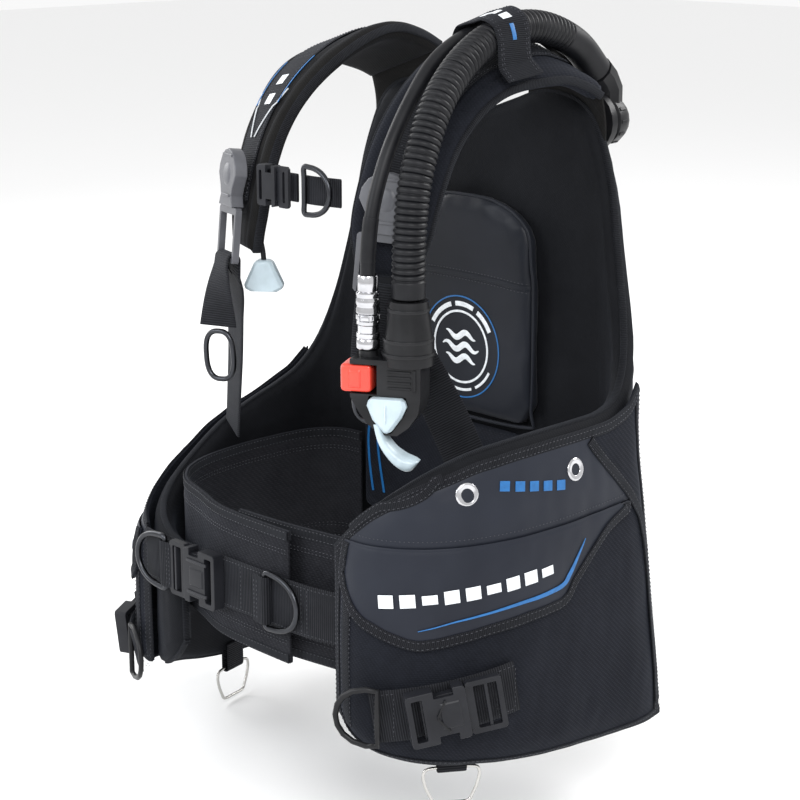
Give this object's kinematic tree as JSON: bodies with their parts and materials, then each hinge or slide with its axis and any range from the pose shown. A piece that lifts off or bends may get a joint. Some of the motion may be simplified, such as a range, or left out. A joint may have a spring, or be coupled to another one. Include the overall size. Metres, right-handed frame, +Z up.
{
  "type": "buoyancy compensator vest",
  "caption": "Jacket-style scuba buoyancy vest: air cell on a back plate, waist belt, shoulder straps, pockets, inflator, hoses, tank band, working buckles, rings and buttons",
  "frame": {"origin": "centre of the back plate's rear face, where the cylinder rests", "axes": "+X to the wearer's left, +Y out of the wearer's back towards the cylinder, +Z up"},
  "size_m": [0.5059, 0.4802, 0.7083],
  "materials": {
    "lining": "blue-black heavy woven nylon, matt",
    "cordura": "blue-black coarse basket-weave nylon, matt",
    "coated_nylon": "blue-black nylon with a thin satin coating",
    "webbing": "black woven polyester webbing",
    "black_plastic": "black moulded nylon, satin",
    "buckle_plastic": "charcoal acetal, satin",
    "grey_plastic": "mid-grey acetal, satin",
    "pale_plastic": "pale blue-grey moulded plastic, satin",
    "red_plastic": "red moulded plastic, satin",
    "rubber": "black rubber, matt",
    "anodised": "dark grey anodised aluminium, satin",
    "stainless": "polished stainless steel wire",
    "chrome": "bright chromed brass"
  },
  "bodies": {
    "vest": {"air_cell": "lining", "back_pad": "coated_nylon", "backplate": "black_plastic", "cam_buckle": "black_plastic", "corrugated_hose": "rubber", "cummerbund_left": "cordura", "cummerbund_right": "cordura", "hose_keeper_band": "webbing", "inflator_body": "black_plastic", "left_front_grommet": "chrome", "left_lower_strap": "webbing", "left_pocket": "cordura", "left_rear_grommet": "chrome", "left_shoulder_buckle_socket": "grey_plastic", "left_shoulder_pad": "cordura", "left_weight_buckle_socket": "buckle_plastic", "left_weight_strap": "webbing", "lp_hose": "rubber", "lp_hose_fitting": "chrome", "lumbar_pad": "cordura", "mouthpiece": "pale_plastic", "right_front_grommet": "chrome", "right_lower_strap": "webbing", "right_pocket": "cordura", "right_rear_grommet": "chrome", "right_shoulder_buckle_socket": "grey_plastic", "right_shoulder_pad": "cordura", "right_weight_buckle_socket": "buckle_plastic", "right_weight_strap": "webbing", "shoulder_dump_valve": "black_plastic", "shoulder_elbow": "black_plastic", "sternum_buckle_socket": "buckle_plastic", "sternum_strap_left": "webbing", "sternum_strap_right": "webbing", "tank_band": "webbing", "waist_buckle_socket": "buckle_plastic", "waist_strap_left": "webbing", "waist_strap_right": "webbing"},
    "left_flap": {"left_pocket_flap": "coated_nylon"},
    "right_flap": {"right_pocket_flap": "coated_nylon"},
    "waist_plug": {"waist_buckle_plug": "buckle_plastic"},
    "sternum_plug": {"sternum_buckle_plug": "buckle_plastic"},
    "left_weight_plug": {"left_weight_buckle_plug": "buckle_plastic"},
    "right_weight_plug": {"right_weight_buckle_plug": "buckle_plastic"},
    "left_shoulder_plug": {"left_shoulder_buckle_plug": "grey_plastic"},
    "right_shoulder_plug": {"right_shoulder_buckle_plug": "grey_plastic"},
    "inflate_press": {"inflate_button": "red_plastic"},
    "deflate_press": {"deflate_button": "pale_plastic"},
    "lp_sleeve": {"lp_coupler_sleeve": "chrome"},
    "dump_knob": {"dump_pull_knob": "pale_plastic"},
    "waist_ring_left": {"waist_d_ring_left": "anodised"},
    "waist_ring_right": {"waist_d_ring_right": "anodised"},
    "sternum_ring": {"sternum_d_ring": "anodised"},
    "left_weight_ring": {"left_weight_d_ring": "black_plastic"},
    "right_weight_ring": {"right_weight_d_ring": "black_plastic"},
    "left_tail_ring": {"left_pull_ring": "anodised"},
    "right_tail_ring": {"right_pull_ring": "anodised"},
    "left_bottom_ring": {"left_lower_ring": "stainless"},
    "right_bottom_ring": {"right_lower_ring": "stainless"},
    "band_lever": {"cam_lever": "black_plastic"}
  },
  "joints": [
    {"name": "left_flap_lift", "type": "hinge", "parent": "vest", "child": "left_flap", "pos_m": [0.22703, -0.25417, -0.03556], "axis": [-0.355, -0.9343, -0.0322], "range_deg": [0, 95]},
    {"name": "right_flap_lift", "type": "hinge", "parent": "vest", "child": "right_flap", "pos_m": [-0.23344, -0.23886, -0.1084], "axis": [-0.2273, 0.9702, 0.0838], "range_deg": [0, 95]},
    {"name": "waist_buckle_release", "type": "slide", "parent": "vest", "child": "waist_plug", "axis": [-1, 0, 0], "range_m": [0, 0.024]},
    {"name": "sternum_buckle_release", "type": "slide", "parent": "vest", "child": "sternum_plug", "axis": [1, 0, 0], "range_m": [0, 0.012]},
    {"name": "left_weight_buckle_release", "type": "slide", "parent": "vest", "child": "left_weight_plug", "axis": [0.5522, 0.8162, 0.1697], "range_m": [0, 0.034]},
    {"name": "right_weight_buckle_release", "type": "slide", "parent": "vest", "child": "right_weight_plug", "axis": [-0.3861, 0.9064, 0.1713], "range_m": [0, 0.034]},
    {"name": "left_shoulder_buckle_release", "type": "slide", "parent": "vest", "child": "left_shoulder_plug", "axis": [-0.0063, -0.1166, -0.9932], "range_m": [0, 0.027]},
    {"name": "right_shoulder_buckle_release", "type": "slide", "parent": "vest", "child": "right_shoulder_plug", "axis": [0.0063, -0.1166, -0.9932], "range_m": [0, 0.015]},
    {"name": "inflate_button_press", "type": "slide", "parent": "vest", "child": "inflate_press", "axis": [0.8601, 0.5101, 0], "range_m": [0, 0.004], "stiffness_N_per_m": 350},
    {"name": "deflate_button_press", "type": "slide", "parent": "vest", "child": "deflate_press", "axis": [-0.5101, 0.8601, 0], "range_m": [0, 0.004], "stiffness_N_per_m": 350},
    {"name": "lp_sleeve_pull", "type": "slide", "parent": "vest", "child": "lp_sleeve", "axis": [0, 0, 1], "range_m": [0, 0.005], "stiffness_N_per_m": 500},
    {"name": "dump_knob_pull", "type": "slide", "parent": "vest", "child": "dump_knob", "axis": [0, 0, -1], "range_m": [0, 0.025], "stiffness_N_per_m": 120},
    {"name": "waist_ring_left_swing", "type": "hinge", "parent": "vest", "child": "waist_ring_left", "pos_m": [0.027, -0.336, -0.14], "axis": [0, 0, -1], "range_deg": [0, 120]},
    {"name": "waist_ring_right_swing", "type": "hinge", "parent": "waist_plug", "child": "waist_ring_right", "pos_m": [-0.112, -0.3384, -0.14], "axis": [0, 0, 1], "range_deg": [0, 120]},
    {"name": "sternum_ring_swing", "type": "hinge", "parent": "vest", "child": "sternum_ring", "pos_m": [0.013, -0.2725, 0.212], "axis": [0, 0, -1], "range_deg": [0, 120]},
    {"name": "left_weight_ring_swing", "type": "hinge", "parent": "vest", "child": "left_weight_ring", "pos_m": [0.17717, -0.34552, -0.20175], "axis": [0, 0, 1], "range_deg": [0, 110]},
    {"name": "right_weight_ring_swing", "type": "hinge", "parent": "vest", "child": "right_weight_ring", "pos_m": [-0.18619, -0.32565, -0.24968], "axis": [0, 0, -1], "range_deg": [0, 110]},
    {"name": "left_pull_ring_swing", "type": "hinge", "parent": "vest", "child": "left_tail_ring", "pos_m": [0.09972, -0.27692, 0.06974], "axis": [-0.9238, -0.3795, 0.0504], "range_deg": [-75, 0]},
    {"name": "right_pull_ring_swing", "type": "hinge", "parent": "vest", "child": "right_tail_ring", "pos_m": [-0.10417, -0.2752, 0.06974], "axis": [-0.9405, -0.3361, -0.0504], "range_deg": [-10, 80]},
    {"name": "left_lower_ring_swing", "type": "hinge", "parent": "vest", "child": "left_bottom_ring", "pos_m": [0.192, -0.272, -0.264], "axis": [-0.5593, -0.829, 0], "range_deg": [-50, 50]},
    {"name": "right_lower_ring_swing", "type": "hinge", "parent": "vest", "child": "right_bottom_ring", "pos_m": [-0.196, -0.192, -0.308], "axis": [0.2, -0.9798, 0], "range_deg": [-50, 50]},
    {"name": "cam_lever_throw", "type": "hinge", "parent": "vest", "child": "band_lever", "pos_m": [0.05691, 0.08262, 0], "axis": [0, 0, -1], "range_deg": [0, 110]}
  ]
}
